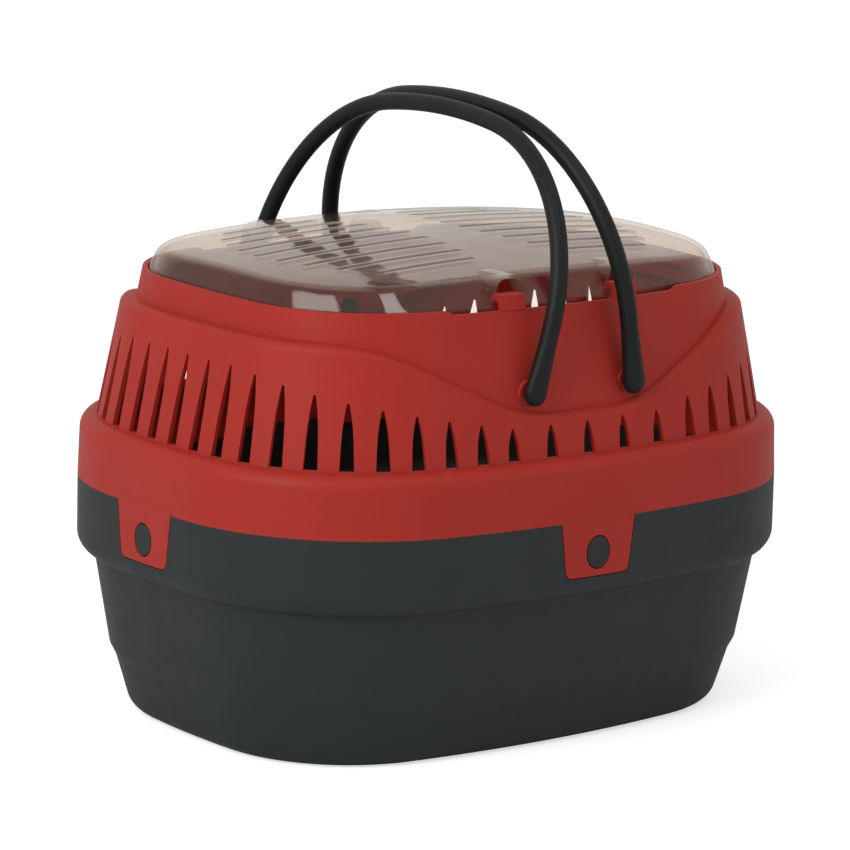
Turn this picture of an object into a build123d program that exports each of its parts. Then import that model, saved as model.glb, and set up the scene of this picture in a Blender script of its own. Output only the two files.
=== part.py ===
from build123d import *
from math import atan2, cos, pi, radians, sin, sqrt, tan
import os

# Small animal carrier: a dark tub, a slotted red cover snapped on it, a clear
# lid on four lugs and two hoop handles. Millimetres, +Z up, X along the
# length, the origin in the middle of the flat base.

# Plan line at the seam between tub and cover; every other plan line is set in from it.
length = 300.0            # along X
width = 236.0             # along Y
corner = 88.0             # plan radius of the four corners
long_span = 8.0           # half angle of the flat arc of a long side, degrees
short_span = 4.0          # half angle of the flat arc of a short side, degrees
wall = 2.2                # moulded wall of tub and cover

# Tub: insets at the ends (X) and at the sides (Y), by height.
tub_height = 103.0        # base to seam
base_end = 23.0
base_side = 26.6
base_round = 8.5
step_z = 24.0             # small outward step of the wall
step_rise = 5.0
step_end = 16.2
step_side = 18.6
step_out = 2.6
skirt_height = 31.0       # upright band under the seam
skirt_out = 7.6           # how far the band stands out from the wall
skirt_rise = 3.0          # slope of the band's underside
skirt_round = 9.0

# Snap tabs of the cover over studs of the tub, one on each side.
tab_top = 39.0            # width at the seam
tab_low = 33.0            # width at the lower edge
tab_drop = 24.0           # seam to lower edge
tab_corner = 3.5
tab_gap = 0.4             # gap round a tab in its recess
tab_back = 0.3            # gap behind a tab
stud_wide = 11.7
stud_high = 13.6
stud_drop = 14.0          # seam to the middle of a stud
stud_gap = 0.5
lip_height = 4.0          # locating lip of the cover inside the tub
lip_wall = 1.6
lip_gap = 0.3
lip_break = 6.0           # lip left out beside each tab

# Cover: band, ledge, slotted wall, collar and rim.
band_height = 26.6
band_draft = 1.0
band_round = 6.5
foot_end = 8.4            # slotted wall at the ledge
foot_side = 7.4
wall_height = 50.9        # ledge to shoulder
wall_lean = 12.0          # degrees, at the ends
side_lean = 10.0          # degrees, at the long sides
crest_round = 4.2
valley_drop = 32.5        # how far the crest dips at the middle of a long side
valley_flat = 60.0        # length between the two lower knees of the crest
crest_knee = 194.0        # length between the two upper knees
crest_bend = 78.0         # bend radius of the knees
rim_end = 29.5            # collar at its rim
rim_side = 23.0
rim_height = 62.9         # ledge to rim
collar_lean = 11.3        # degrees
notch_wide = 122.0        # lower part of the rim on each long side
notch_deep = 1.7
notch_slope = 3.0

# Slots of the slotted wall, from the middle of a long side to the end.
slot_pitch = 19.4         # first steps
slot_keep = 2             # steps of that pitch on the left of the middle, one more on the right
slot_steps = 11           # equal steps from there, with half a step left at the end's middle
slot_lift = 0.4           # above the ledge
slot_low = 13.0           # height of the slots at the middle of a long side
slot_tall = 37.4          # height of the slots at the ends
slot_rise = 38.8          # distance from the middle where the slots start to grow
slot_full = 170.0         # distance where they reach their full height
slot_wide = 6.2           # at the foot
slot_knee = 5.2           # width where the sides start to curve in
slot_straight = 0.42      # share of the height below that
slot_top = 1.2            # at the top

# Lugs of the collar and hoods of the lid.
lug_x = 30.0
lug_wide = 12.0
lug_height = 4.7          # above the rim
lug_proud = 0.5           # raised strip below each lug
lug_strip = 1.5
barb_reach = 4.6
barb_high = 2.8
barb_slope = 1.2
hood_gap = 0.7            # beside a lug
hood_wall = 1.3
hood_head = 6.5           # window above a lug on the latch side
hinge_head = 3.6          # the same on the hinge side
hood_round = 5.0
hood_out = 0.6            # in front of the lid's skirt
hood_deep = 16.0
hood_tunnel = 3.0         # window carried on behind a barb
sill_drop = 2.6           # window below a barb, on the hinge side

# Lid.
lid_wall = 1.8
lid_gap = 0.5             # to the collar
lid_below = 4.2           # skirt below the rim
lid_edge = 10.4           # edge of the top above the rim
lid_dome = 6.0            # crown of the top
lid_round = 6.0
lid_lean = 8.0            # how far the long sides lean in between rim and edge
seat_gap = 0.4            # lid above its seat
seat_wide = 2.0
seat_high = 1.6
vent_rows = 9
vent_pitch = 14.0
vent_wide = 3.6
vent_out = 95.0           # outer ends lie on an oval of this half length
vent_span = 86.0          # and of this half width
vent_in = 13.5            # inner end of the middle vent
vent_bow = 8.0            # how much further out the inner end of the last vent lies

# Handles: two equal hoops on pegs.
pivot_x = 26.5
pivot_lift = 27.4         # above the ledge
hoop_half = 106.0         # centre line of a leg from the middle
leg_straight = 27.4       # pivot to the start of the corner bend
rod = 7.6
hoop_corner = 80.0
hoop_crown = 260.0        # crown radius of the top
end_wide = 10.4           # swollen end of a leg
end_long = 20.0
end_flat = 0.1            # small flat on each side of the rounded end
peg_d = 6.0
peg_fit = 0.08            # radial clearance in the bore
head_d = 8.4
head_long = 1.6
head_gap = 0.3
boss_d = 10.6
boss_long = 3.8
boss_gap = 0.4            # boss face to leg
boss_edge = 0.5           # chamfer of a boss
spot_gap = 0.5            # flat round a boss, beyond the end of a leg
left_tilt = 15.4          # degrees from upright, towards the middle
right_tilt = 8.4

half_x = length / 2
half_y = width / 2
ledge_z = tub_height + band_height
rim_z = ledge_z + rim_height
pivot_z = ledge_z + pivot_lift
shoulder_z = ledge_z + wall_height
lug_z = rim_z + lug_height
collar_t = tan(radians(collar_lean))
knot = ((sin(radians(long_span)), cos(radians(long_span))),
        (sin(radians(short_span)), cos(radians(short_span))))


def radii(end, side):
    """Half sizes and the three arc radii of a plan line set in by end and side."""
    a = half_x - end
    b = half_y - side
    r = corner - (end + side) / 2
    (s, c), (u, v) = knot
    p = a - r * (v - s)
    q = b - r * (c - u)
    det = s * u - (1 - c) * (1 - v)
    long_r = (p * u - q * (1 - v)) / det
    short_r = (s * q - (1 - c) * p) / det
    return a, b, r, long_r, short_r


def outline(z, end, side):
    """Closed plan line of eight tangent arcs at height z."""
    a, b, r, long_r, short_r = radii(end, side)
    (s, c), (u, v) = knot
    xl, yl = long_r * s, b - long_r * (1 - c)
    xs, ys = a - short_r * (1 - v), short_r * u
    mid = radians(90 + long_span - short_span) / 2
    xc = (long_r - r) * s + r * sin(mid)
    yc = b - long_r + (long_r - r) * c + r * cos(mid)
    turn = [(xs, -ys), (a, 0), (xs, ys), (xc, yc), (xl, yl), (0, b), (-xl, yl), (-xc, yc)]
    turn += [(-xs, ys), (-a, 0), (-xs, -ys), (-xc, -yc), (-xl, -yl), (0, -b), (xl, -yl)]
    turn += [(xc, -yc), (xs, -ys)]
    pts = [Vector(x, y, z) for x, y in turn]
    arcs = [Edge.make_three_point_arc(*pts[i:i + 3]) for i in range(0, 16, 2)]
    return Wire(arcs)


def stack(levels):
    """Solid through plan lines, each given as height, end inset and side inset."""
    return Solid.make_loft([outline(*level) for level in levels], ruled=True)


def inward(levels, t):
    """Levels of the same wall one wall thickness further in."""
    line = [((e + s) / 2, z) for z, e, s in levels]
    runs = []
    for (u0, z0), (u1, z1) in zip(line, line[1:]):
        size = sqrt((u1 - u0) ** 2 + (z1 - z0) ** 2)
        runs.append(((z1 - z0) / size, (u0 - u1) / size))
    inner = []
    for i, (z, e, s) in enumerate(levels):
        n0 = runs[max(i - 1, 0)]
        n1 = runs[min(i, len(runs) - 1)]
        k = t / (1 + n0[0] * n1[0] + n0[1] * n1[1])
        du = k * (n0[0] + n1[0])
        dz = k * (n0[1] + n1[1])
        inner.append((z + dz, e + du, s + du))
    return inner


def at_height(solid, z):
    """Edges of a solid that lie flat at height z."""
    found = []
    for e in solid.edges():
        box = e.bounding_box()
        if abs(box.min.Z - z) < 0.01 and abs(box.max.Z - z) < 0.01:
            found.append(e)
    return found


def block(x0, x1, y0, y1, z0, z1):
    """Box between two corners."""
    return Pos((x0 + x1) / 2, (y0 + y1) / 2, (z0 + z1) / 2) * Box(x1 - x0, y1 - y0, z1 - z0)


def side_plane(k):
    """Upright plane of side k, its normal outward: 0 and 2 are ends, 1 and 3 long sides."""
    n = Vector(cos(k * pi / 2), sin(k * pi / 2), 0)
    return Plane(origin=(0, 0, 0), x_dir=(-n.Y, n.X, 0), z_dir=n)


def ring(z0, z1, inset, thick):
    """Upright ring that follows the seam line."""
    outer = stack([(z0, inset, inset), (z1, inset, inset)])
    inner = stack([(z0 - 1, inset + thick, inset + thick), (z1 + 1, inset + thick, inset + thick)])
    return outer - inner


def tab_face(grow):
    """Outline of a snap tab on its side plane, grown by a gap."""
    low = tub_height - tab_drop
    top = tub_height + 2 * lip_height
    ease = (tab_top - tab_low) / 2 / tab_drop
    wide = tab_top / 2 + ease * (top - tub_height)
    pts = [(-wide, top), (-tab_low / 2, low), (tab_low / 2, low), (wide, top)]
    face = make_face(Polyline(*pts, close=True))
    face = fillet(face.vertices().sort_by(Axis.Y)[:2], tab_corner)
    return offset(face, grow) if grow else face


def side_prism(face, k, near, far):
    """Prism of a side face between two distances from the middle."""
    placed = side_plane(k).offset(near) * face
    return extrude(placed, far - near, dir=tuple(side_plane(k).z_dir))


def reach_of(k):
    return half_x if k % 2 == 0 else half_y


def make_tub():
    """Lower tub with its upright band, tab recesses and studs."""
    skirt_z = tub_height - skirt_height
    levels = [
        (0, base_end, base_side),
        (step_z, step_end, step_side),
        (step_z + step_rise, step_end - step_out, step_side - step_out),
        (skirt_z - skirt_rise, skirt_out - 0.4, skirt_out + 0.4),
        (skirt_z, 0, 0),
        (tub_height, 0, 0),
    ]
    outer = stack(levels)
    outer = outer.fillet(base_round, at_height(outer, 0))
    outer = outer.fillet(skirt_round, at_height(outer, skirt_z))
    outer = outer.fillet(wall, at_height(outer, skirt_z - skirt_rise))
    inner_levels = inward(levels, wall)
    slope = (inner_levels[1][1] - inner_levels[0][1]) / (inner_levels[1][0] - inner_levels[0][0])
    rise = wall - inner_levels[0][0]
    z, e, s = inner_levels[0]
    inner_levels[0] = (wall, e + slope * rise, s + slope * rise)
    z, e, s = inner_levels[-1]
    inner_levels[-1] = (tub_height + 1, e, s)
    inner = stack(inner_levels)
    inner = inner.fillet(base_round - wall, at_height(inner, wall))
    inner = inner.fillet(skirt_round - wall, at_height(inner, inner_levels[4][0]))
    tub = outer - inner
    recess = wall + tab_back
    pad_wide = tab_top / 2 + tab_gap + wall
    pads = ring(skirt_z + wall, tub_height, wall / 2, recess + wall / 2)
    for k in range(4):
        area = Rectangle(2 * pad_wide, 4 * tub_height)
        tub += pads & side_prism(area, k, 0, reach_of(k) + 1)
    studs = ring(skirt_z, tub_height, 0, recess + wall / 2)
    for k in range(4):
        far = reach_of(k) + 1
        near = reach_of(k) - recess - 6
        ring_cut = ring(skirt_z - 1, tub_height + 1, -5, recess + 5)
        tub -= ring_cut & side_prism(tab_face(tab_gap), k, near, far)
        oval = Pos(0, tub_height - stud_drop) * Ellipse(stud_wide / 2, stud_high / 2)
        tub += studs & side_prism(oval, k, near, far)
    return tub


def crest_prism(drop, far):
    """Everything below the wave of the crest, lowered by drop."""
    top = shoulder_z - drop
    low = top - valley_drop
    reach = half_x + far
    pts = [(-reach, top), (-crest_knee / 2, top), (-valley_flat / 2, low)]
    pts += [(valley_flat / 2, low), (crest_knee / 2, top), (reach, top)]
    line = FilletPolyline(*pts, radius=crest_bend)
    rest = Polyline((reach, top), (reach, tub_height), (-reach, tub_height), (-reach, top))
    face = Plane.XZ * make_face(line + rest)
    return extrude(face, half_y + far, both=True)


def collar_levels(z0, z1, more):
    """Collar wall between two heights, set in further by more."""
    low = (z0, rim_end + more + (z0 - rim_z) * collar_t, rim_side + more + (z0 - rim_z) * collar_t)
    top = (z1, rim_end + more + (z1 - rim_z) * collar_t, rim_side + more + (z1 - rim_z) * collar_t)
    return [low, top]


def wall_levels(z0, z1, more):
    """Slotted wall between two heights, set in further by more."""
    te, ts = tan(radians(wall_lean)), tan(radians(side_lean))
    levels = []
    for z in (z0, z1):
        dz = z - ledge_z
        levels.append((z, foot_end + more + dz * te, foot_side + more + dz * ts))
    return levels


def arc_lengths():
    """Lengths of the three arcs of a quarter at the foot of the slotted wall."""
    a, b, r, long_r, short_r = radii(foot_end, foot_side)
    span = radians(90 - long_span - short_span)
    return long_r * radians(long_span), r * span, short_r * radians(short_span)


def station(dist):
    """Point and outward normal at an arc length from the middle of a long side."""
    a, b, r, long_r, short_r = radii(foot_end, foot_side)
    (s, c), (u, v) = knot
    one, two, three = arc_lengths()
    if dist <= one:
        t = dist / long_r
        return long_r * sin(t), b - long_r * (1 - cos(t)), t
    if dist <= one + two:
        t = radians(long_span) + (dist - one) / r
        return (long_r - r) * s + r * sin(t), b - long_r + (long_r - r) * c + r * cos(t), t
    t = pi / 2 - radians(short_span) + (dist - one - two) / short_r
    return a - short_r + short_r * sin(t), short_r * cos(t), t


def slot_face(high):
    """Slot outline: flat foot, nearly upright sides that curve in to a narrow round top."""
    w, k, t = slot_wide / 2, slot_knee / 2, slot_top / 2
    knee = slot_straight * high
    lean = (k - w, knee)
    right = Edge.make_tangent_arc((k, knee, 0), (lean[0], lean[1], 0), (t, high, 0))
    left = Edge.make_tangent_arc((-k, knee, 0), (-lean[0], lean[1], 0), (-t, high, 0))
    cap = Edge.make_three_point_arc((-t, high, 0), (0, high + t, 0), (t, high, 0))
    foot = Edge.make_line((-w, 0, 0), (w, 0, 0))
    rises = [Edge.make_line((w, 0, 0), (k, knee, 0)), Edge.make_line((-w, 0, 0), (-k, knee, 0))]
    return make_face([foot, rises[0], right, cap, left, rises[1]])


def slot_places(keep, steps):
    """Arc lengths of the slots of one quarter, without the one at the middle of the long side."""
    one, two, three = arc_lengths()
    start = keep * slot_pitch
    step = (one + two + three - start) / (steps + 0.5)
    return [k * slot_pitch for k in range(1, keep + 1)] + [start + k * step for k in range(1, steps + 1)]


def slot_prism(dist, sx, sy):
    """Prism of the slot at an arc length from the middle of a long side."""
    grow = min(max((dist - slot_rise) / (slot_full - slot_rise), 0), 1)
    face = slot_face(slot_low + (slot_tall - slot_low) * grow)
    x, y, t = station(dist)
    n = Vector(sx * sin(t), sy * cos(t), 0)
    plane = Plane(origin=(sx * x, sy * y, ledge_z + slot_lift), x_dir=(-n.Y, n.X, 0), z_dir=n)
    return extrude(plane.offset(-7 * wall) * face, 10 * wall, dir=tuple(n))


def slots():
    """All the slots: the two long sides are alike when the cover is turned round."""
    out = [slot_prism(0, 1, 1), slot_prism(0, 1, -1)]
    for sx in (1, -1):
        for sy in (1, -1):
            more = 1 if sx * sy < 0 else 0
            for dist in slot_places(slot_keep + more, slot_steps - more):
                out.append(slot_prism(dist, sx, sy))
    return out


def lug_parts():
    """Lugs, their barbs and the raised strips below them, for one long side (+Y)."""
    wall_ring = stack(collar_levels(pivot_z, lug_z, 0)) - stack(collar_levels(pivot_z - 1, lug_z + 1, wall))
    strip_low = rim_z - lug_strip
    proud = stack(collar_levels(strip_low, lug_z, -lug_proud))
    proud -= stack(collar_levels(strip_low - 1, lug_z + 1, wall / 2))
    out = []
    for sx in (1, -1):
        x0 = sx * lug_x - lug_wide / 2
        x1 = sx * lug_x + lug_wide / 2
        out.append(wall_ring & block(x0, x1, 0, half_y, rim_z - notch_deep - wall, lug_z))
        out.append(proud & block(x0, x1, 0, half_y, strip_low, lug_z))
        out.append(barb(x0, x1))
    return out


def barb_back():
    """Inner face of a lug at its top, on the middle line of the lug."""
    z, end, side = collar_levels(rim_z, lug_z, wall)[1]
    a, b, r, long_r, short_r = radii(end, side)
    return b - long_r + sqrt(long_r ** 2 - lug_x ** 2)


def barb(x0, x1):
    """Barb that reaches in from the top of a lug."""
    back = barb_back()
    pts = [(back + wall / 2, lug_z), (back - barb_reach + barb_slope, lug_z)]
    pts += [(back - barb_reach, lug_z - barb_slope), (back - barb_reach, lug_z - barb_high)]
    pts += [(back + wall / 2, lug_z - barb_high)]
    face = Plane.YZ.offset(x0) * make_face(Polyline(*pts, close=True))
    return extrude(face, x1 - x0, dir=(1, 0, 0))


def pivot_places():
    return [(sx * pivot_x, sy) for sx in (1, -1) for sy in (1, -1)]


def boss_face():
    """Distance of a boss face from the middle plane."""
    return hoop_half - rod / 2 - boss_gap


def make_cover():
    """Red cover: band with tabs, slotted wall, collar, lugs and handle bores."""
    band = stack([(tub_height, 0, 0), (ledge_z, band_draft, band_draft)])
    band = band.fillet(band_round, at_height(band, ledge_z))
    band_in = stack([(tub_height - 1, wall, wall), (ledge_z - wall, wall + band_draft, wall + band_draft)])
    band_in = band_in.fillet(band_round - wall, at_height(band_in, ledge_z - wall))
    low = ledge_z - band_round
    raised = stack(wall_levels(low, shoulder_z + 1, 0)) & crest_prism(0, wall)
    crest = [e for e in raised.edges() if on_crest(e, 0)]
    raised = raised.fillet(crest_round, crest)
    raised_in = stack(wall_levels(low - wall, shoulder_z + 1, wall)) & crest_prism(wall, wall)
    collar = stack(collar_levels(low, rim_z, 0))
    collar_in = stack(collar_levels(low - wall, rim_z + 1, wall))
    cover = band + raised + collar - band_in - raised_in - collar_in
    seat_z = rim_z - lid_below - seat_gap
    seat = stack(collar_levels(seat_z - seat_high, seat_z, wall / 2))
    seat -= stack(collar_levels(seat_z - seat_high - 1, seat_z + 1, wall + lid_gap + seat_wide))
    seat -= block(-notch_wide / 2, notch_wide / 2, -half_y, half_y, seat_z - 2 * seat_high, seat_z + 1)
    cover += seat
    for sy in (1, -1):
        cover -= notch(sy)
        for x, side in pivot_places():
            if side == sy:
                cover += boss(x, sy)
    for part in lug_parts():
        cover += part
        cover += part.rotate(Axis.Z, 180)
    cover -= slots()
    for x, sy in pivot_places():
        cover -= bore(x, sy)
    cover += lip()
    return add_tabs(cover)


def on_crest(edge, drop):
    """True for an edge on the outer side of the crest line."""
    mid = edge.position_at(0.5)
    box = edge.bounding_box()
    top = shoulder_z - drop
    if box.max.Z > top + 0.01 or box.min.Z < top - valley_drop - 0.01:
        return False
    return edge.length > 0.5 and abs(mid.Z - crest_z(mid.X, drop)) < 0.05


def crest_z(x, drop):
    """Height of the crest at x."""
    top = shoulder_z - drop
    low = top - valley_drop
    x0, x1 = valley_flat / 2, crest_knee / 2
    lean = atan2(valley_drop, x1 - x0)
    t = crest_bend * tan(lean / 2)
    x = abs(x)
    if x < x0 - t:
        return low
    if x < x0 + t * cos(lean):
        return low + crest_bend - sqrt(crest_bend ** 2 - (x - x0 + t) ** 2)
    if x < x1 - t * cos(lean):
        return low + (x - x0) * tan(lean)
    if x < x1 + t:
        return top - crest_bend + sqrt(crest_bend ** 2 - (x1 + t - x) ** 2)
    return top


def notch(sy):
    """Lower part of the rim on one long side."""
    half = notch_wide / 2
    pts = [(-half - notch_slope, rim_z + 1), (-half + notch_slope, rim_z - notch_deep)]
    pts += [(half - notch_slope, rim_z - notch_deep), (half + notch_slope, rim_z + 1)]
    face = Plane.XZ * make_face(Polyline(*pts, close=True))
    cut = extrude(face, sy * half_y, dir=(0, 1, 0)) if sy > 0 else extrude(face, half_y, dir=(0, -1, 0))
    return cut


def boss(x, sy):
    """Boss round a handle bore."""
    out = boss_face()
    middle = sy * (out - boss_long / 2)
    ring_solid = Cylinder(boss_d / 2, boss_long)
    face = ring_solid.edges().filter_by(GeomType.CIRCLE).sort_by(Axis.Z)
    ring_solid = chamfer(face[-1:] if sy < 0 else face[:1], boss_edge)
    return Pos(x, middle, pivot_z) * Rot(90, 0, 0) * ring_solid


def bore(x, sy):
    """Bore for a peg, with the flat that clears the leg in front of it."""
    out = boss_face()
    hole = Pos(x, sy * out, pivot_z) * Rot(90, 0, 0) * Cylinder(peg_d / 2 + peg_fit, 4 * boss_long)
    spot_r = end_wide / 2 + spot_gap
    spot = Pos(x, sy * (out + wall), pivot_z) * Rot(90, 0, 0) * Cylinder(spot_r, 2 * wall)
    return hole + spot


def lip():
    """Locating lip inside the tub, left out at the tabs."""
    inset = wall + lip_gap
    low = ring(tub_height - lip_height, tub_height, inset, lip_wall)
    up = ring(tub_height, tub_height + lip_height, wall / 2, inset + lip_wall - wall / 2)
    gap = tab_top + 2 * lip_break
    for k in range(4):
        area = Pos(0, tub_height - lip_height) * Rectangle(gap, 2 * lip_height)
        low -= side_prism(area, k, reach_of(k) / 2, reach_of(k) + 1)
    return low + up


def add_tabs(cover):
    """Snap tabs: the band's own wall carried down over the tub."""
    shell = ring(tub_height - tab_drop, tub_height + wall, 0, wall)
    for k in range(4):
        near, far = reach_of(k) / 2, reach_of(k) + 1
        tab = shell & side_prism(tab_face(0), k, near, far)
        hole = Ellipse(stud_wide / 2 + stud_gap, stud_high / 2 + stud_gap)
        tab -= side_prism(Pos(0, tub_height - stud_drop) * hole, k, near, far)
        cover += tab
    return cover


def dome(lower):
    """Crowned cap that closes the lid, lowered by a thickness."""
    level = collar_levels(rim_z, rim_z + lid_edge, wall + lid_gap)[1]
    a = half_x - level[1]
    b = half_y - level[2]
    r = (a ** 2 + lid_dome ** 2) / (2 * lid_dome)
    ball = Pos(0, 0, rim_z + lid_edge + lid_dome - r - lower) * (Rot(90, 0, 0) * Sphere(r))
    return scale(ball, by=(1, b / a, 1))


def hood_face(inner, low, head):
    """Inverted U of a hood on the XZ plane, its outside or its window."""
    half = lug_wide / 2 + hood_gap + (0 if inner else hood_wall)
    top = lug_z + head + (0 if inner else hood_wall)
    rad = hood_round + (0 if inner else hood_wall)
    face = Pos(0, (top + low) / 2) * Rectangle(2 * half, top - low)
    return fillet(face.vertices().sort_by(Axis.Y)[2:], rad)


def skirt_face():
    """Outer face of the lid's skirt at the top of the lugs, on the middle line of a lug."""
    z, end, side = collar_levels(rim_z, lug_z, wall + lid_gap)[1]
    a, b, r, long_r, short_r = radii(end, side)
    return b - long_r + sqrt(long_r ** 2 - lug_x ** 2)


def hood_prism(inner, low, sx, sy, deep):
    """Hood profile carried in from its front by a depth."""
    head = hinge_head if sy > 0 else hood_head
    face = Plane.XZ * (Pos(sx * lug_x, 0) * hood_face(inner, low, head))
    clear = 2 * wall if inner else 0
    front = skirt_face() + hood_out + clear
    prism = extrude(face, deep + clear, dir=(0, -sy, 0))
    return Pos(0, sy * front, 0) * prism


def vents():
    """Two groups of parallel slots, their outer ends on an oval."""
    out = []
    last = (vent_rows - 1) / 2
    for sx in (1, -1):
        for k in range(vent_rows):
            y = (k - last) * vent_pitch
            far = vent_out * sqrt(1 - (y / vent_span) ** 2)
            near = vent_in + vent_bow * ((k - last) / last) ** 2
            face = Pos(sx * (far + near) / 2, y, rim_z) * SlotOverall(far - near, vent_wide)
            out.append(extrude(face, lid_edge + 2 * lid_dome, dir=(0, 0, 1)))
    return out


def skirt_levels(low, more):
    """Skirt of the lid: upright inside the rim, so that it lifts out, then leaning with the lugs."""
    rim, edge = collar_levels(rim_z, rim_z + lid_edge, more)
    grow = (lid_edge + 2 * lid_dome) / lid_edge
    side = rim[2] + (edge[2] - rim[2] + lid_lean) * grow
    tall = (rim_z + grow * lid_edge, rim[1] + (edge[1] - rim[1]) * grow, side)
    return [(low, rim[1], rim[2]), rim, tall]


def top_edges(solid):
    """Edges round the top of the lid."""
    return [e for e in solid.edges() if e.bounding_box().min.Z > rim_z + lid_edge / 4]


def make_lid():
    """Clear lid: crowned top with vents, skirt and four hoods."""
    low = rim_z - lid_below
    more = wall + lid_gap
    outer = stack(skirt_levels(low, more)) & dome(0)
    outer = outer.fillet(lid_round, top_edges(outer))
    inner = stack(skirt_levels(low - 1, more + lid_wall)) & dome(lid_wall)
    inner = inner.fillet(lid_round - lid_wall, top_edges(inner))
    lid = outer - inner
    hood_low = rim_z - notch_deep
    sill = lug_z - barb_high - sill_drop
    window = hood_out + lid_wall + barb_reach + hood_tunnel
    for sx in (1, -1):
        for sy in (1, -1):
            hood = hood_prism(False, hood_low, sx, sy, hood_deep)
            lid += hood - inner - hood_prism(True, low - 1, sx, sy, window)
    for sx in (1, -1):
        lid -= hood_prism(True, low - 1, sx, -1, window)
        lid -= hood_prism(True, sill, sx, 1, window)
    return lid - vents()


def hoop_path():
    """Centre line of a hoop from one leg to the other, upright in the YZ plane."""
    reach = hoop_crown - hoop_corner
    yc = hoop_half - hoop_corner
    crown_z = leg_straight - sqrt(reach ** 2 - yc ** 2)
    k = hoop_crown / reach
    ty, tz = yc * k, crown_z + (leg_straight - crown_z) * k
    turn = atan2(tz - leg_straight, ty - yc) / 2
    my, mz = yc + hoop_corner * cos(turn), leg_straight + hoop_corner * sin(turn)
    top = crown_z + hoop_crown
    lines = [
        Edge.make_line((0, hoop_half, end_long), (0, hoop_half, leg_straight)),
        Edge.make_three_point_arc((0, hoop_half, leg_straight), (0, my, mz), (0, ty, tz)),
        Edge.make_three_point_arc((0, ty, tz), (0, 0, top), (0, -ty, tz)),
        Edge.make_three_point_arc((0, -ty, tz), (0, -my, mz), (0, -hoop_half, leg_straight)),
        Edge.make_line((0, -hoop_half, leg_straight), (0, -hoop_half, end_long)),
    ]
    return Wire(lines)


def leg_end():
    """Swollen end of a leg with its peg, for the leg at +Y."""
    taper = loft([Pos(0, hoop_half, 0) * Ellipse(end_wide / 2, rod / 2),
                  Pos(0, hoop_half, end_long) * Circle(rod / 2)])
    half = Ellipse(end_wide / 2, rod / 2) & Pos(end_wide / 2, 0) * Rectangle(end_wide, rod - 2 * end_flat)
    foot = Pos(0, hoop_half, 0) * revolve(half, Axis.Y)
    foot &= block(-end_wide, end_wide, 0, 2 * hoop_half, -end_wide, 0)
    head_out = boss_face() - boss_long - head_gap
    peg = rod_y(peg_d / 2, head_out - head_long / 2, hoop_half - rod / 4)
    head = rod_y(head_d / 2, head_out - head_long, head_out)
    head = chamfer(head.edges().sort_by(Axis.Y)[:1], head_long / 4)
    return taper + foot + peg + head


def rod_y(r, y0, y1):
    """Cylinder along Y between two distances."""
    return Pos(0, (y0 + y1) / 2, 0) * Rot(90, 0, 0) * Cylinder(r, y1 - y0)


def make_hoop(x, tilt):
    """Handle at rest: tilted about its pegs by an angle towards +X."""
    path = hoop_path()
    start = Plane(origin=(0, hoop_half, end_long), z_dir=(0, 0, 1))
    hoop = sweep(start * Circle(rod / 2), path=path)
    end = leg_end()
    hoop = hoop + end + end.rotate(Axis.Z, 180)
    return Pos(x, 0, pivot_z) * (Rot(0, tilt, 0) * hoop)


def main():
    os.makedirs("parts", exist_ok=True)
    export_step(make_tub(), "parts/tub.step")
    export_step(make_cover(), "parts/cover.step")
    export_step(make_lid(), "parts/lid.step")
    export_step(make_hoop(-pivot_x, left_tilt), "parts/left_handle.step")
    export_step(make_hoop(pivot_x, -right_tilt), "parts/right_handle.step")


if __name__ == "__main__":
    main()
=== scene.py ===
"""Small animal carrier: procedural plastics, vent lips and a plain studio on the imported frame."""

import bpy
from bpy.props import FloatProperty, FloatVectorProperty, IntProperty, PointerProperty
from mathutils import Matrix, Vector


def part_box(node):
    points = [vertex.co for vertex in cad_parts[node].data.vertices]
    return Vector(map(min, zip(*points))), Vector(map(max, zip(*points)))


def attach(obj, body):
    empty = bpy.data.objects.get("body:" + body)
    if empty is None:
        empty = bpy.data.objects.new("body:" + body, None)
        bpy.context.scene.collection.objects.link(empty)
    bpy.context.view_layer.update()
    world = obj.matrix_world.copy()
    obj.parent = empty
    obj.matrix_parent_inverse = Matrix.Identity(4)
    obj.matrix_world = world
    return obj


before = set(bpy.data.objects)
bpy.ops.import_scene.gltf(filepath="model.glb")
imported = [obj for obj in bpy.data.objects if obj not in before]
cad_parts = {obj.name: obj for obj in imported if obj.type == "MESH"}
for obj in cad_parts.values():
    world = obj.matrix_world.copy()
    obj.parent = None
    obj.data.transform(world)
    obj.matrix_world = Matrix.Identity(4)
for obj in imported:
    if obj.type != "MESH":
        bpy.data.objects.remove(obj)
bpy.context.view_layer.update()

bl_info = {
    "name": "Small animal carrier",
    "version": (1, 0, 0),
    "blender": (4, 5, 0),
    "location": "View3D > Sidebar > Carrier",
    "description": "Plastics, vent lips and studio for a small animal carrier",
    "category": "Object",
}

# The camera that the photograph was taken with, in metres, fitted to the outline.
CAMERA_AT = (-1.21150, -1.57993, 0.53555)
CAMERA_RIGHT = (0.79687, -0.60371, 0.02301)
CAMERA_UP = (0.10488, 0.17574, 0.97883)
CAMERA_BACK = (-0.59498, -0.77759, 0.20336)
CAMERA_LENS = 197.27
CAMERA_SENSOR = 36.0
CAMERA_REACH = 50.0

# Crown of the lid: its rise, and the half length and half width that it spans, in metres.
CROWN_RISE = 0.006
CROWN_LONG = 0.11572
CROWN_WIDE = 0.09022

# Plastics: how many patches of each noise go into a metre, and how deep a bump goes, in metres.
MOTTLE_SCALE = 22.0
MOTTLE_CONTRAST = 1.6
SCUFF_SCALE = 90.0
GRAIN_DEPTH = 0.0002
HAZE_SCALE = 9.0
HAZE_CONTRAST = 1.5
HAZE_ROUGHNESS = 0.4
WAVE_DEPTH = 0.001
PLASTIC_IOR = 1.49
FACING_POWER = 5.0

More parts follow.
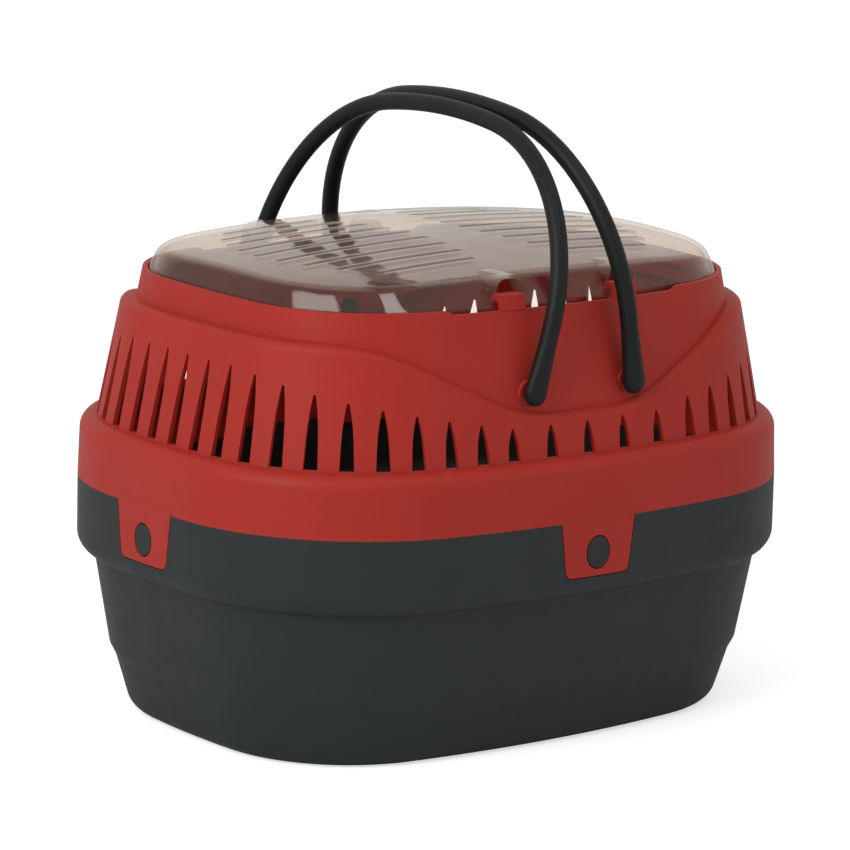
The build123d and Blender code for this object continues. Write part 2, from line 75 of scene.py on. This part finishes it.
# Vent lips: points along a lip and corners of its section.
LIP_POINTS = 13
LIP_CORNERS = 8

# Stage: half the floor's width, its roughness, what the lights aim at, and each light's
# place and size, in metres.
FLOOR_REACH = 6.0
FLOOR_ROUGHNESS = 0.9
AIM = (0.0, 0.0, 0.12)
LIGHTS = {
    "key": ((-1.6, -0.3, 1.2), 1.1),
    "strip": ((0.0, -0.8, 1.9), 0.45),
    "fill": ((0.8, -1.6, 0.9), 1.4),
}
SOFT_SKY = (0.96, 0.98, 1.0)
MIRRORED_SKY = (1.0, 0.95, 0.89)
WHITE = (1.0, 1.0, 1.0)
BLACK = (0.0, 0.0, 0.0)


class Value:
    """A shader value whose arithmetic adds Math nodes."""

    def __init__(self, shader, socket):
        self.shader = shader
        self.socket = socket

    def _math(self, operation, *terms):
        return self.shader.node("ShaderNodeMath", {"operation": operation}, *terms)

    def __add__(self, other):
        return self._math("ADD", self, other)

    def __radd__(self, other):
        return self._math("ADD", other, self)

    def __sub__(self, other):
        return self._math("SUBTRACT", self, other)

    def __rsub__(self, other):
        return self._math("SUBTRACT", other, self)

    def __mul__(self, other):
        return self._math("MULTIPLY", self, other)

    def __rmul__(self, other):
        return self._math("MULTIPLY", other, self)

    def __truediv__(self, other):
        return self._math("DIVIDE", self, other)

    def __rtruediv__(self, other):
        return self._math("DIVIDE", other, self)

    def power(self, other):
        return self._math("POWER", self, other)

    def clamped(self):
        return self.shader.node("ShaderNodeClamp", {}, self, 0.0, 1.0)


class Shader:
    """A material's node tree, built node by node."""

    def __init__(self, name):
        self.material = bpy.data.materials.new(name)
        self.material.use_nodes = True
        self.tree = self.material.node_tree
        self.tree.nodes.clear()

    def node(self, kind, settings, *values, out=0, **named):
        """A node of any kind: its settings first, then values or links for its sockets."""
        made = self.tree.nodes.new(kind)
        for key, value in settings.items():
            setattr(made, key, value)
        for index, value in enumerate(values):
            self.put(made.inputs[index], value)
        for key, value in named.items():
            self.put(made.inputs[key.replace("_", " ")], value)
        return Value(self, made.outputs[out])

    def put(self, socket, value):
        if isinstance(value, Value):
            self.tree.links.new(value.socket, socket)
        elif value is not None:
            socket.default_value = value

    def place(self):
        """Object coordinates."""
        return self.node("ShaderNodeTexCoord", {}, out=3)

    def noise(self, place, scale, detail, rough=0.5):
        return self.node("ShaderNodeTexNoise", {}, Vector=place, Scale=scale, Detail=detail,
                         Roughness=rough)

    def patches(self, place, scale, contrast, detail):
        """Noise drawn apart about its middle, from 0 to 1."""
        return ((self.noise(place, scale, detail) - 0.5) * contrast + 0.5).clamped()

    def mix(self, factor, first, second):
        """Mix of two colours."""
        made = self.tree.nodes.new("ShaderNodeMix")
        made.data_type = "RGBA"
        self.put(made.inputs[0], factor)
        self.put(made.inputs[6], first)
        self.put(made.inputs[7], second)
        return Value(self, made.outputs[2])

    def finish(self, surface):
        made = self.tree.nodes.new("ShaderNodeOutputMaterial")
        self.tree.links.new(surface.socket, made.inputs["Surface"])
        return self.material


def rgba(colour, gain=1.0):
    """A colour made lighter or darker, with full alpha."""
    return (*[min(c * gain, 1.0) for c in colour], 1.0)


def plastic(name, look):
    """Moulded plastic: faint mottling, a fine grain and soft scuffs."""
    shader = Shader(name)
    place = shader.place()
    patch = shader.patches(place, MOTTLE_SCALE, MOTTLE_CONTRAST, 3.0)
    colour = shader.mix(patch, rgba(look.colour, 1.0 - look.mottle),
                        rgba(look.colour, 1.0 + look.mottle))
    scuff = shader.noise(place, SCUFF_SCALE, 2.0)
    rough = ((scuff - 0.5) * look.scuff + look.roughness).clamped()
    grain = shader.noise(place, look.grain_scale, 3.0, 0.6)
    bump = shader.node("ShaderNodeBump", {}, Strength=look.grain, Distance=GRAIN_DEPTH,
                       Height=grain)
    surface = shader.node("ShaderNodeBsdfPrincipled", {}, Base_Color=colour, Roughness=rough,
                          Normal=bump, IOR=PLASTIC_IOR, Specular_IOR_Level=look.gloss)
    return shader.finish(surface)


def clear_plastic(name, look):
    """Clear moulding: a mirror that grows the flatter it is seen, over a faint haze."""
    shader = Shader(name)
    place = shader.place()
    wave = shader.noise(place, look.wave_scale, 2.0)
    bump = shader.node("ShaderNodeBump", {}, Strength=look.wave, Distance=WAVE_DEPTH,
                       Height=wave)
    body = shader.node("ShaderNodeBsdfPrincipled", {}, Base_Color=rgba(look.colour),
                       Roughness=HAZE_ROUGHNESS, IOR=PLASTIC_IOR)
    through = shader.node("ShaderNodeBsdfTransparent", {}, Color=rgba(look.tint))
    height = shader.node("ShaderNodeSeparateXYZ", {}, place, out=2)
    on_top = ((height - look.top) / look.fade).clamped()
    patch = shader.patches(place, HAZE_SCALE, HAZE_CONTRAST, 2.0)
    haze = on_top * patch * look.haze + look.body
    clear = shader.node("ShaderNodeMixShader", {}, haze, through, body)
    facing = shader.node("ShaderNodeLayerWeight", {}, Blend=0.5, Normal=bump, out=1)
    shine = facing.power(FACING_POWER) * (1.0 - look.face_on) + look.face_on
    mirror = shader.node("ShaderNodeBsdfPrincipled", {}, Base_Color=rgba(look.glint),
                         Metallic=1.0, Roughness=look.roughness, Normal=bump)
    surface = shader.node("ShaderNodeMixShader", {}, shine, clear, mirror)
    return shader.finish(surface)


def paint(node, material):
    """Gives a CAD node's object one material."""
    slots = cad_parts[node].material_slots
    if not slots:
        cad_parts[node].data.materials.append(material)
    for slot in slots:
        slot.material = material


class TubLook(bpy.types.PropertyGroup):
    """Plastic of the tub."""

    colour: FloatVectorProperty(name="Colour", description="Colour of the tub", subtype="COLOR",
                                size=3, min=0.0, max=1.0, default=(0.0175, 0.0215, 0.0222))
    mottle: FloatProperty(name="Mottling", description="Share by which the colour varies",
                          subtype="FACTOR", min=0.0, max=1.0, default=0.07)
    roughness: FloatProperty(name="Roughness", description="Mean roughness", subtype="FACTOR",
                             min=0.0, max=1.0, default=0.56)
    gloss: FloatProperty(name="Gloss", description="Strength of the reflection",
                         subtype="FACTOR", min=0.0, max=1.0, default=0.36)
    scuff: FloatProperty(name="Scuffs", description="How much the roughness varies",
                         subtype="FACTOR", min=0.0, max=1.0, default=0.16)
    grain: FloatProperty(name="Grain", description="Strength of the moulded grain",
                         subtype="FACTOR", min=0.0, max=1.0, default=0.22)
    grain_scale: FloatProperty(name="Grain scale", description="Grains in a metre",
                               subtype="UNSIGNED", min=10.0, max=5000.0, default=1300.0)


class CoverLook(bpy.types.PropertyGroup):
    """Plastic of the cover."""

    colour: FloatVectorProperty(name="Colour", description="Colour of the cover",
                                subtype="COLOR", size=3, min=0.0, max=1.0,
                                default=(0.42, 0.0265, 0.0165))
    mottle: FloatProperty(name="Mottling", description="Share by which the colour varies",
                          subtype="FACTOR", min=0.0, max=1.0, default=0.04)
    roughness: FloatProperty(name="Roughness", description="Mean roughness", subtype="FACTOR",
                             min=0.0, max=1.0, default=0.5)
    gloss: FloatProperty(name="Gloss", description="Strength of the reflection",
                         subtype="FACTOR", min=0.0, max=1.0, default=0.24)
    scuff: FloatProperty(name="Scuffs", description="How much the roughness varies",
                         subtype="FACTOR", min=0.0, max=1.0, default=0.12)
    grain: FloatProperty(name="Grain", description="Strength of the moulded grain",
                         subtype="FACTOR", min=0.0, max=1.0, default=0.16)
    grain_scale: FloatProperty(name="Grain scale", description="Grains in a metre",
                               subtype="UNSIGNED", min=10.0, max=5000.0, default=1500.0)


class HandleLook(bpy.types.PropertyGroup):
    """Plastic of the handles."""

    colour: FloatVectorProperty(name="Colour", description="Colour of the handles",
                                subtype="COLOR", size=3, min=0.0, max=1.0,
                                default=(0.0095, 0.0112, 0.0112))
    mottle: FloatProperty(name="Mottling", description="Share by which the colour varies",
                          subtype="FACTOR", min=0.0, max=1.0, default=0.08)
    roughness: FloatProperty(name="Roughness", description="Mean roughness", subtype="FACTOR",
                             min=0.0, max=1.0, default=0.42)
    gloss: FloatProperty(name="Gloss", description="Strength of the reflection",
                         subtype="FACTOR", min=0.0, max=1.0, default=0.2)
    scuff: FloatProperty(name="Scuffs", description="How much the roughness varies",
                         subtype="FACTOR", min=0.0, max=1.0, default=0.12)
    grain: FloatProperty(name="Grain", description="Strength of the moulded grain",
                         subtype="FACTOR", min=0.0, max=1.0, default=0.1)
    grain_scale: FloatProperty(name="Grain scale", description="Grains in a metre",
                               subtype="UNSIGNED", min=10.0, max=5000.0, default=1500.0)


class LidLook(bpy.types.PropertyGroup):
    """Clear plastic of the lid."""

    colour: FloatVectorProperty(name="Haze colour", description="Colour that the haze scatters",
                                subtype="COLOR", size=3, min=0.0, max=1.0,
                                default=(0.84, 0.76, 0.67))
    tint: FloatVectorProperty(name="Tint", description="Colour of what shows through",
                              subtype="COLOR", size=3, min=0.0, max=1.0,
                              default=(0.93, 0.865, 0.82))
    glint: FloatVectorProperty(name="Glint", description="Colour of the reflection",
                               subtype="COLOR", size=3, min=0.0, max=1.0,
                               default=(1.0, 0.98, 0.95))
    roughness: FloatProperty(name="Roughness", description="Roughness of the reflection",
                             subtype="FACTOR", min=0.0, max=1.0, default=0.05)
    face_on: FloatProperty(name="Face on", description="Share reflected when seen face on",
                           subtype="FACTOR", min=0.0, max=1.0, default=0.03)
    body: FloatProperty(name="Haze", description="Share that is never clear",
                        subtype="FACTOR", min=0.0, max=1.0, default=0.01)
    haze: FloatProperty(name="Haze of the top", description="Share added in patches on the top",
                        subtype="FACTOR", min=0.0, max=1.0, default=0.2)
    top: FloatProperty(name="Haze from", description="Height where the haze of the top starts",
                       unit="LENGTH", min=0.0, max=1.0, default=0.2008)
    fade: FloatProperty(name="Haze fade", description="Height over which the haze sets in",
                        unit="LENGTH", min=0.0001, max=0.1, default=0.003)
    wave: FloatProperty(name="Waviness", description="Strength of the moulded waves",
                        subtype="FACTOR", min=0.0, max=1.0, default=0.9)
    wave_scale: FloatProperty(name="Wave scale", description="Waves in a metre",
                              subtype="UNSIGNED", min=1.0, max=500.0, default=24.0)


class VentLips(bpy.types.PropertyGroup):
    """Raised lips along the vents of the lid."""

    rows: IntProperty(name="Rows", description="Vents in a group", min=2, max=30, default=9)
    pitch: FloatProperty(name="Pitch", description="From one vent to the next",
                         unit="LENGTH", min=0.001, max=0.1, default=0.014)
    out: FloatProperty(name="Out", description="Half length of the oval of the outer ends",
                       unit="LENGTH", min=0.001, max=0.5, default=0.095)
    span: FloatProperty(name="Span", description="Half width of the oval of the outer ends",
                        unit="LENGTH", min=0.001, max=0.3, default=0.086)
    near: FloatProperty(name="Near", description="Inner end of the middle vent",
                        unit="LENGTH", min=0.0, max=0.2, default=0.0135)
    bow: FloatProperty(name="Bow", description="How much further out the last vent starts",
                       unit="LENGTH", min=0.0, max=0.1, default=0.008)
    wide: FloatProperty(name="Width", description="Width of a vent", unit="LENGTH",
                        min=0.0005, max=0.02, default=0.0036)
    bead: FloatProperty(name="Bead", description="Radius of a lip", unit="LENGTH",
                        min=0.0001, max=0.005, default=0.0004)


class StageLook(bpy.types.PropertyGroup):
    """Floor, lights and background."""

    floor: FloatProperty(name="Floor", description="Brightness of the floor",
                         subtype="FACTOR", min=0.0, max=1.0, default=0.9)
    lift: FloatProperty(name="Floor lift", description="Glow of the floor for the camera alone",
                        min=0.0, max=1.0, default=0.6)
    sky: FloatProperty(name="Sky", description="Strength of the soft light from all round",
                       min=0.0, max=10.0, default=0.46)
    mirrored: FloatProperty(name="Mirrored", description="Strength of the sky in reflections",
                            min=0.0, max=10.0, default=0.7)
    key: FloatProperty(name="Key", description="Power of the key light, in watts",
                       min=0.0, max=1000.0, default=16.0)
    strip: FloatProperty(name="Strip", description="Power of the small light above, in watts",
                         min=0.0, max=1000.0, default=3.0)
    fill: FloatProperty(name="Fill", description="Power of the fill light, in watts",
                        min=0.0, max=1000.0, default=1.6)


def kept(name):
    """A property group of the scene."""
    return getattr(bpy.context.scene, name)


class CARRIER_OT_tub(bpy.types.Operator):
    """Gives the tub its plastic."""

    bl_idname = "carrier.tub"
    bl_label = "Tub"

    def execute(self, context):
        paint("tub", plastic("tub_plastic", kept("carrier_tub")))
        return {"FINISHED"}


class CARRIER_OT_cover(bpy.types.Operator):
    """Gives the cover its plastic."""

    bl_idname = "carrier.cover"
    bl_label = "Cover"

    def execute(self, context):
        paint("cover", plastic("cover_plastic", kept("carrier_cover")))
        return {"FINISHED"}


class CARRIER_OT_handles(bpy.types.Operator):
    """Gives both handles their plastic."""

    bl_idname = "carrier.handles"
    bl_label = "Handles"

    def execute(self, context):
        made = plastic("handle_plastic", kept("carrier_handles"))
        paint("left_handle", made)
        paint("right_handle", made)
        return {"FINISHED"}


class CARRIER_OT_lid(bpy.types.Operator):
    """Gives the lid its clear plastic."""

    bl_idname = "carrier.lid"
    bl_label = "Lid"

    def execute(self, context):
        paint("lid", clear_plastic("lid_plastic", kept("carrier_lid")))
        return {"FINISHED"}


class Rule:
    """A Geometry Nodes tree, built node by node."""

    def __init__(self, name):
        self.tree = bpy.data.node_groups.new(name, "GeometryNodeTree")
        self.face = self.tree.interface
        self.inside = None

    def socket(self, name, kind, way="INPUT"):
        return self.face.new_socket(name, in_out=way, socket_type=kind)

    def node(self, kind, settings=None, **values):
        made = self.tree.nodes.new(kind)
        for key, value in (settings or {}).items():
            setattr(made, key, value)
        for key, value in values.items():
            self.put(made.inputs[int(key[1:])], value)
        return made

    def put(self, socket, value):
        if isinstance(value, bpy.types.NodeSocket):
            self.tree.links.new(value, socket)
        else:
            socket.default_value = value

    def math(self, operation, first, second=0.0):
        return self.node("ShaderNodeMath", {"operation": operation}, i0=first, i1=second).outputs[0]

    def squared(self, value):
        return self.math("MULTIPLY", value, value)

    def given(self, name):
        """Output of the tree's own input of that name."""
        if self.inside is None:
            self.inside = self.tree.nodes.new("NodeGroupInput")
        return self.inside.outputs[name]


def vent_lip_rule():
    """Lines beside each vent, laid on the crown of the lid and given a round section."""
    rule = Rule("vent_lips")
    rule.socket("Geometry", "NodeSocketGeometry", "OUTPUT")
    for name in ("Pitch", "Out", "Span", "Near", "Bow", "Half Width", "Bead",
                 "Crown Height", "Crown Radius", "Crown Stretch"):
        rule.socket(name, "NodeSocketFloat")
    rule.socket("Rows", "NodeSocketInt")
    rule.socket("Material", "NodeSocketMaterial")
    given = rule.given
    steps = rule.math("SUBTRACT", given("Rows"), 1.0)
    last = rule.math("MULTIPLY", given("Pitch"), rule.math("MULTIPLY", steps, 0.5))
    start = rule.node("ShaderNodeCombineXYZ", None, i1=rule.math("MULTIPLY", last, -1.0))
    step = rule.node("ShaderNodeCombineXYZ", None, i1=given("Pitch"))
    rows = rule.node("GeometryNodeMeshLine", {"mode": "OFFSET"}, i0=given("Rows"))
    rule.put(rows.inputs["Start Location"], start.outputs[0])
    rule.put(rows.inputs["Offset"], step.outputs[0])
    line = rule.node("GeometryNodeCurvePrimitiveLine")
    rule.put(line.inputs["End"], (1.0, 0.0, 0.0))
    fine = rule.node("GeometryNodeResampleCurve")
    rule.put(fine.inputs["Curve"], line.outputs[0])
    rule.put(fine.inputs["Count"], LIP_POINTS)
    column = rule.node("GeometryNodeInstanceOnPoints")
    rule.put(column.inputs["Points"], rows.outputs[0])
    rule.put(column.inputs["Instance"], fine.outputs[0])
    plain_rows = rule.node("GeometryNodeRealizeInstances", None, i0=column.outputs[0])
    place = rule.node("GeometryNodeInputPosition")
    parts = rule.node("ShaderNodeSeparateXYZ", None, i0=place.outputs[0])
    share = rule.math("DIVIDE", parts.outputs[1], given("Span"))
    oval = rule.math("SQRT", rule.math("SUBTRACT", 1.0, rule.squared(share)))
    far = rule.math("SUBTRACT", rule.math("MULTIPLY", given("Out"), oval), given("Half Width"))
    rise = rule.squared(rule.math("DIVIDE", parts.outputs[1], last))
    bowed = rule.math("ADD", given("Near"), rule.math("MULTIPLY", given("Bow"), rise))
    near = rule.math("ADD", bowed, given("Half Width"))
    long = rule.math("MULTIPLY", parts.outputs[0], rule.math("SUBTRACT", far, near))
    spread = rule.node("ShaderNodeCombineXYZ", None, i0=rule.math("ADD", near, long),
                       i1=parts.outputs[1])
    vents = rule.node("GeometryNodeSetPosition")
    rule.put(vents.inputs["Geometry"], plain_rows.outputs[0])
    rule.put(vents.inputs["Position"], spread.outputs[0])
    beside = rule.math("ADD", given("Half Width"), given("Bead"))
    both = rule.node("GeometryNodeJoinGeometry")
    for side in (1.0, -1.0):
        shift = rule.node("ShaderNodeCombineXYZ", None, i1=rule.math("MULTIPLY", beside, side))
        moved = rule.node("GeometryNodeTransform", None, i0=vents.outputs[0])
        rule.put(moved.inputs["Translation"], shift.outputs[0])
        rule.tree.links.new(moved.outputs[0], both.inputs[0])
    mirrored = rule.node("GeometryNodeTransform", None, i0=both.outputs[0])
    rule.put(mirrored.inputs["Scale"], (-1.0, 1.0, 1.0))
    groups = rule.node("GeometryNodeJoinGeometry")
    rule.tree.links.new(both.outputs[0], groups.inputs[0])
    rule.tree.links.new(mirrored.outputs[0], groups.inputs[0])
    along = rule.squared(parts.outputs[0])
    across = rule.squared(rule.math("DIVIDE", parts.outputs[1], given("Crown Stretch")))
    whole = rule.squared(given("Crown Radius"))
    drop = rule.math("SQRT", rule.math("SUBTRACT", rule.math("SUBTRACT", whole, along), across))
    below = rule.math("SUBTRACT", drop, given("Crown Radius"))
    height = rule.math("ADD", below, given("Crown Height"))
    laid = rule.node("ShaderNodeCombineXYZ", None, i0=parts.outputs[0], i1=parts.outputs[1],
                     i2=height)
    on_crown = rule.node("GeometryNodeSetPosition")
    rule.put(on_crown.inputs["Geometry"], groups.outputs[0])
    rule.put(on_crown.inputs["Position"], laid.outputs[0])
    ring = rule.node("GeometryNodeCurvePrimitiveCircle")
    rule.put(ring.inputs["Resolution"], LIP_CORNERS)
    rule.put(ring.inputs["Radius"], given("Bead"))
    solid = rule.node("GeometryNodeCurveToMesh")
    rule.put(solid.inputs["Curve"], on_crown.outputs[0])
    rule.put(solid.inputs["Profile Curve"], ring.outputs[0])
    rule.put(solid.inputs["Fill Caps"], True)
    smooth = rule.node("GeometryNodeSetShadeSmooth", None, i0=solid.outputs[0])
    real = rule.node("GeometryNodeRealizeInstances", None, i0=smooth.outputs[0])
    done = rule.node("GeometryNodeSetMaterial", None, i0=real.outputs[0])
    rule.put(done.inputs["Material"], given("Material"))
    out = rule.tree.nodes.new("NodeGroupOutput")
    rule.tree.links.new(done.outputs[0], out.inputs[0])
    return rule.tree


def grown(name, tree, values):
    """The plain mesh that a Geometry Nodes tree makes from these named values."""
    seed = bpy.data.objects.new(name + "_seed", bpy.data.meshes.new(name + "_seed"))
    bpy.context.scene.collection.objects.link(seed)
    modifier = seed.modifiers.new("rule", "NODES")
    modifier.node_group = tree
    for item in tree.interface.items_tree:
        if item.in_out == "INPUT" and item.name in values:
            modifier[item.identifier] = values[item.name]
    bpy.context.view_layer.update()
    depsgraph = bpy.context.evaluated_depsgraph_get()
    mesh = bpy.data.meshes.new_from_object(seed.evaluated_get(depsgraph), depsgraph=depsgraph)
    bpy.data.objects.remove(seed)
    made = bpy.data.objects.new(name, mesh)
    bpy.context.scene.collection.objects.link(made)
    return made


class CARRIER_OT_vent_lips(bpy.types.Operator):
    """Lays a raised lip along both edges of each vent of the lid."""

    bl_idname = "carrier.vent_lips"
    bl_label = "Vent lips"

    def execute(self, context):
        sizes = kept("carrier_vents")
        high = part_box("lid")[1]
        values = {
            "Rows": sizes.rows, "Pitch": sizes.pitch, "Out": sizes.out, "Span": sizes.span,
            "Near": sizes.near, "Bow": sizes.bow, "Half Width": sizes.wide / 2,
            "Bead": sizes.bead, "Crown Height": high.z - sizes.bead / 2,
            "Crown Radius": (CROWN_LONG ** 2 + CROWN_RISE ** 2) / (2 * CROWN_RISE),
            "Crown Stretch": CROWN_WIDE / CROWN_LONG,
            "Material": bpy.data.materials["lid_plastic"],
        }
        lips = grown("vent_lips", vent_lip_rule(), values)
        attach(lips, "lid")
        return {"FINISHED"}


def area_light(name, power):
    """A square soft box that faces the object."""
    at, size = LIGHTS[name]
    data = bpy.data.lights.new(name, "AREA")
    data.size = size
    data.energy = power
    lamp = bpy.data.objects.new(name, data)
    lamp.location = at
    lamp.rotation_euler = (Vector(AIM) - Vector(at)).to_track_quat("-Z", "Y").to_euler()
    bpy.context.scene.collection.objects.link(lamp)


def sky(look):
    """White where the camera sees it, a warm grey studio in reflections, soft light elsewhere."""
    world = bpy.data.worlds.new("studio")
    world.use_nodes = True
    nodes, links = world.node_tree.nodes, world.node_tree.links
    nodes.clear()
    path = nodes.new("ShaderNodeLightPath")
    out = nodes.new("ShaderNodeOutputWorld")
    shades = []
    for colour, strength in ((SOFT_SKY, look.sky), (MIRRORED_SKY, look.mirrored), (WHITE, 1.0)):
        shade = nodes.new("ShaderNodeBackground")
        shade.inputs["Color"].default_value = rgba(colour)
        shade.inputs["Strength"].default_value = strength
        shades.append(shade.outputs[0])
    for ray, seen in (("Is Glossy Ray", shades[1]), ("Is Camera Ray", shades[2])):
        both = nodes.new("ShaderNodeMixShader")
        links.new(path.outputs[ray], both.inputs[0])
        links.new(shades[0], both.inputs[1])
        links.new(seen, both.inputs[2])
        shades[0] = both.outputs[0]
    links.new(shades[0], out.inputs[0])
    bpy.context.scene.world = world


def floor(look):
    """A wide pale floor, lifted to white for the camera alone, so that it keeps the shadow."""
    mesh = bpy.data.meshes.new("floor")
    turns = ((-1, -1), (1, -1), (1, 1), (-1, 1))
    mesh.from_pydata([(FLOOR_REACH * x, FLOOR_REACH * y, 0) for x, y in turns], [], [(0, 1, 2, 3)])
    made = bpy.data.objects.new("floor", mesh)
    bpy.context.scene.collection.objects.link(made)
    shader = Shader("floor_paint")
    seen = shader.node("ShaderNodeLightPath", {}, out=0)
    lift = shader.mix(seen, rgba(BLACK), rgba(WHITE, look.lift))
    surface = shader.node("ShaderNodeBsdfPrincipled", {}, Base_Color=rgba(WHITE, look.floor),
                          Roughness=FLOOR_ROUGHNESS, Emission_Color=lift, Emission_Strength=1.0)
    mesh.materials.append(shader.finish(surface))


class CARRIER_OT_stage(bpy.types.Operator):
    """Sets the floor, the lights, the background and the camera."""

    bl_idname = "carrier.stage"
    bl_label = "Stage"

    def execute(self, context):
        look = kept("carrier_stage")
        sky(look)
        floor(look)
        for name in LIGHTS:
            area_light(name, getattr(look, name))
        data = bpy.data.cameras.new("camera")
        data.lens = CAMERA_LENS
        data.sensor_width = CAMERA_SENSOR
        data.sensor_height = CAMERA_SENSOR
        data.clip_end = CAMERA_REACH
        camera = bpy.data.objects.new("camera", data)
        turned = Matrix((CAMERA_RIGHT, CAMERA_UP, CAMERA_BACK)).transposed().to_4x4()
        camera.matrix_world = Matrix.Translation(CAMERA_AT) @ turned
        context.scene.collection.objects.link(camera)
        context.scene.camera = camera
        context.scene.view_settings.view_transform = "Standard"
        return {"FINISHED"}


class CARRIER_PT_panel(bpy.types.Panel):
    """Lists the pieces of the carrier."""

    bl_idname = "CARRIER_PT_panel"
    bl_label = "Carrier"
    bl_space_type = "VIEW_3D"
    bl_region_type = "UI"
    bl_category = "Carrier"

    def draw(self, context):
        for step in STEPS:
            self.layout.operator(step.bl_idname)
        for name in GROUPS:
            box = self.layout.box()
            group = getattr(context.scene, name)
            for key in group.__annotations__:
                box.prop(group, key)


GROUPS = {
    "carrier_tub": TubLook,
    "carrier_cover": CoverLook,
    "carrier_handles": HandleLook,
    "carrier_lid": LidLook,
    "carrier_vents": VentLips,
    "carrier_stage": StageLook,
}
STEPS = (
    CARRIER_OT_tub,
    CARRIER_OT_cover,
    CARRIER_OT_handles,
    CARRIER_OT_lid,
    CARRIER_OT_vent_lips,
    CARRIER_OT_stage,
)


def register():
    for name, group in GROUPS.items():
        bpy.utils.register_class(group)
        setattr(bpy.types.Scene, name, PointerProperty(type=group))
    for step in STEPS:
        bpy.utils.register_class(step)
    bpy.utils.register_class(CARRIER_PT_panel)


def unregister():
    bpy.utils.unregister_class(CARRIER_PT_panel)
    for step in reversed(STEPS):
        bpy.utils.unregister_class(step)
    for name, group in GROUPS.items():
        delattr(bpy.types.Scene, name)
        bpy.utils.unregister_class(group)


def main():
    register()
    bpy.ops.carrier.tub()
    bpy.ops.carrier.cover()
    bpy.ops.carrier.handles()
    bpy.ops.carrier.lid()
    bpy.ops.carrier.vent_lips()
    bpy.ops.carrier.stage()


if __name__ == "__main__":
    main()
